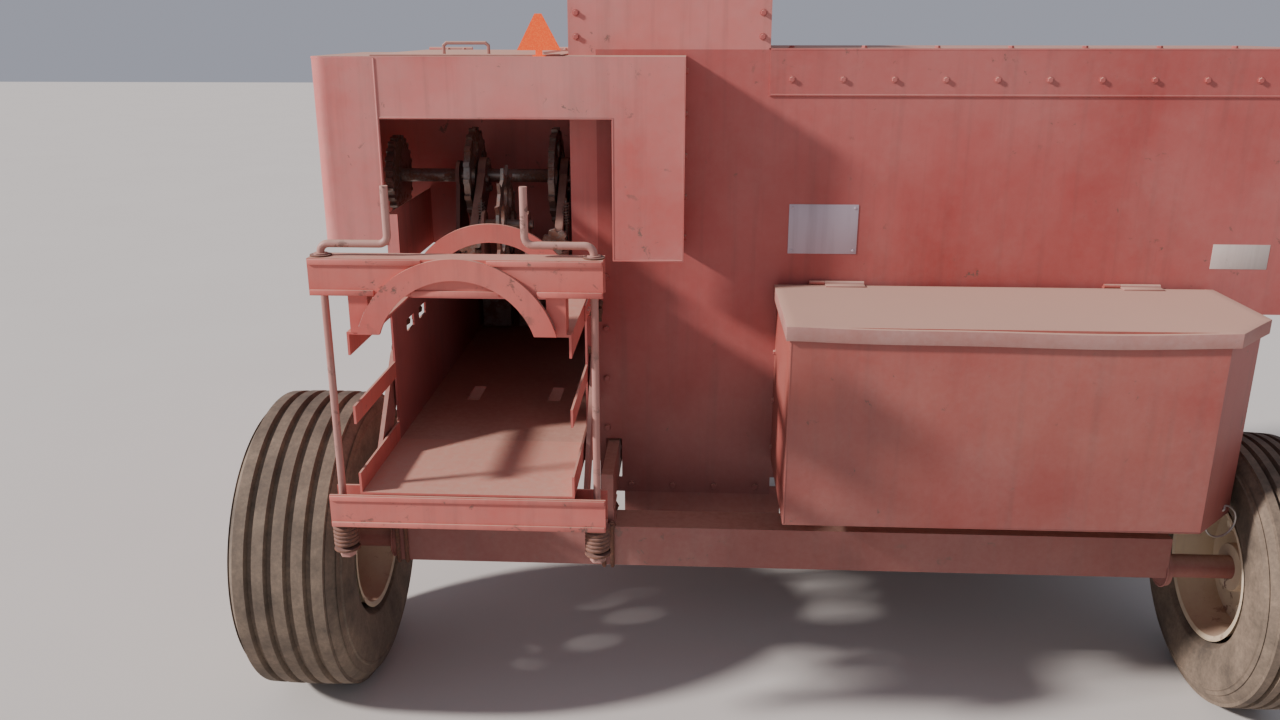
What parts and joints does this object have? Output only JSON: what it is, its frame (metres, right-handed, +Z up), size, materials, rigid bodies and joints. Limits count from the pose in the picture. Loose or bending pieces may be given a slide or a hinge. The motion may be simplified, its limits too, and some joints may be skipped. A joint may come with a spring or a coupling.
{
  "type": "square baler",
  "caption": "Towed small square baler: side pickup feeds a bale chamber with plunger, needles and knotters; flywheel drive, twine box, two wheels, swinging tongue and jack.",
  "frame": {"origin": "centre of the machine's bounding box, on the ground", "axes": "+Y forward to the hitch, +Z up, +X to the right where the pickup is; the picture looks along +Y from behind"},
  "size_m": [2.615, 4.75, 1.85],
  "materials": {
    "red_paint": "faded enamel under dust",
    "dark_red_paint": "old enamel in shade",
    "dusty_lid": "enamel under thick dust",
    "worn_steel": "bare worn steel",
    "rusty_steel": "rusty steel",
    "cast_iron": "painted casting, greasy",
    "wheel_paint": "cream enamel, rust spots",
    "tyre_rubber": "dusty rubber",
    "shield_plastic": "black guard plastic",
    "zinc_steel": "zinc plated steel",
    "reflector": "orange reflector sheet"
  },
  "bodies": {
    "baler": {"bale_case": "red_paint", "chamber_rails": "red_paint", "chamber_bows": "red_paint", "tension_bars": "red_paint", "tension_springs": "rusty_steel", "tension_screws": "rusty_steel", "plunger_case": "red_paint", "plunger_cover": "red_paint", "plunger": "worn_steel", "plunger_drive": "worn_steel", "gearbox": "cast_iron", "flywheel_shield": "red_paint", "main_frame": "dark_red_paint", "axle": "dark_red_paint", "feeder_wall": "red_paint", "feeder_roof": "red_paint", "feeder_deck": "worn_steel", "feeder_tower": "red_paint", "feeder_rail": "worn_steel", "twine_box": "red_paint", "knotter_hood": "red_paint", "knotter_shield": "red_paint", "side_drive_shield": "red_paint", "knotter_frame": "cast_iron", "triangle_reflector": "reflector"},
    "left_wheel": {"left_rim": "wheel_paint", "left_tyre": "tyre_rubber"},
    "right_wheel": {"right_rim": "wheel_paint", "right_tyre": "tyre_rubber"},
    "flywheel": {"flywheel": "cast_iron"},
    "feeder_carriage": {"feeder_carriage": "zinc_steel"},
    "twine_lid": {"twine_lid": "dusty_lid"},
    "pickup": {"pickup_frame": "dark_red_paint", "pickup_strippers": "worn_steel"},
    "pickup_reel": {"pickup_reel": "rusty_steel"},
    "windguard": {"windguard": "rusty_steel"},
    "gauge_wheel": {"gauge_wheel": "tyre_rubber"},
    "knotter_lid": {"knotter_lid": "dusty_lid"},
    "knotter_shaft": {"knotter_shaft": "worn_steel"},
    "measuring_wheel": {"measuring_wheel": "worn_steel"},
    "needle_yoke": {"needle_yoke": "dark_red_paint"},
    "tongue": {"tongue": "dark_red_paint", "hitch_clevis": "rusty_steel", "driveline": "shield_plastic"},
    "jack": {"jack": "zinc_steel"}
  },
  "joints": [
    {"name": "left_wheel_spin", "type": "hinge", "parent": "baler", "child": "left_wheel", "pos_m": [-1.1675, -1.905, 0.385], "axis": [-1, 0, 0], "continuous": true},
    {"name": "right_wheel_spin", "type": "hinge", "parent": "baler", "child": "right_wheel", "pos_m": [1.2045, -1.905, 0.35], "axis": [-1, 0, 0], "continuous": true},
    {"name": "flywheel_spin", "type": "hinge", "parent": "baler", "child": "flywheel", "pos_m": [-0.8355, 0.485, 0.898], "axis": [0, 1, 0], "continuous": true},
    {"name": "feeder_stroke", "type": "slide", "parent": "baler", "child": "feeder_carriage", "axis": [1, 0, 0], "range_m": [-0.365, 0.15]},
    {"name": "twine_lid_hinge", "type": "hinge", "parent": "baler", "child": "twine_lid", "pos_m": [0.5475, -1.745, 1.0525], "axis": [-1, 0, 0], "range_deg": [0, 80]},
    {"name": "pickup_lift", "type": "hinge", "parent": "baler", "child": "pickup", "pos_m": [0.4075, -1.13, 0.64], "axis": [1, 0, 0], "range_deg": [0, 20]},
    {"name": "pickup_reel_spin", "type": "hinge", "parent": "pickup", "child": "pickup_reel", "pos_m": [0.4075, -0.805, 0.37], "axis": [1, 0, 0], "continuous": true},
    {"name": "windguard_float", "type": "hinge", "parent": "pickup", "child": "windguard", "pos_m": [0.4075, -0.745, 0.8], "axis": [-1, 0, 0], "range_deg": [0, 30]},
    {"name": "gauge_wheel_spin", "type": "hinge", "parent": "pickup", "child": "gauge_wheel", "pos_m": [1.26, -0.895, 0.193], "axis": [-1, 0, 0], "continuous": true},
    {"name": "knotter_lid_hinge", "type": "hinge", "parent": "baler", "child": "knotter_lid", "pos_m": [-0.7525, -1.397, 1.624], "axis": [-1, 0, 0], "range_deg": [0, 100]},
    {"name": "knotter_shaft_turn", "type": "hinge", "parent": "baler", "child": "knotter_shaft", "pos_m": [-0.6925, -1.575, 1.3], "axis": [1, 0, 0], "continuous": true},
    {"name": "measuring_wheel_turn", "type": "hinge", "parent": "baler", "child": "measuring_wheel", "pos_m": [-0.6925, -1.755, 1.2], "axis": [1, 0, 0], "continuous": true},
    {"name": "needle_swing", "type": "hinge", "parent": "baler", "child": "needle_yoke", "pos_m": [-0.6925, -1.992, 0.898], "axis": [1, 0, 0], "range_deg": [0, 79]},
    {"name": "tongue_swing", "type": "hinge", "parent": "baler", "child": "tongue", "pos_m": [-0.8355, 0.725, 0.48], "axis": [0, 0, -1], "range_deg": [0, 20]},
    {"name": "jack_swing", "type": "hinge", "parent": "tongue", "child": "jack", "pos_m": [-0.9855, 1.885, 0.48], "axis": [-1, 0, 0], "range_deg": [0, 90]}
  ]
}
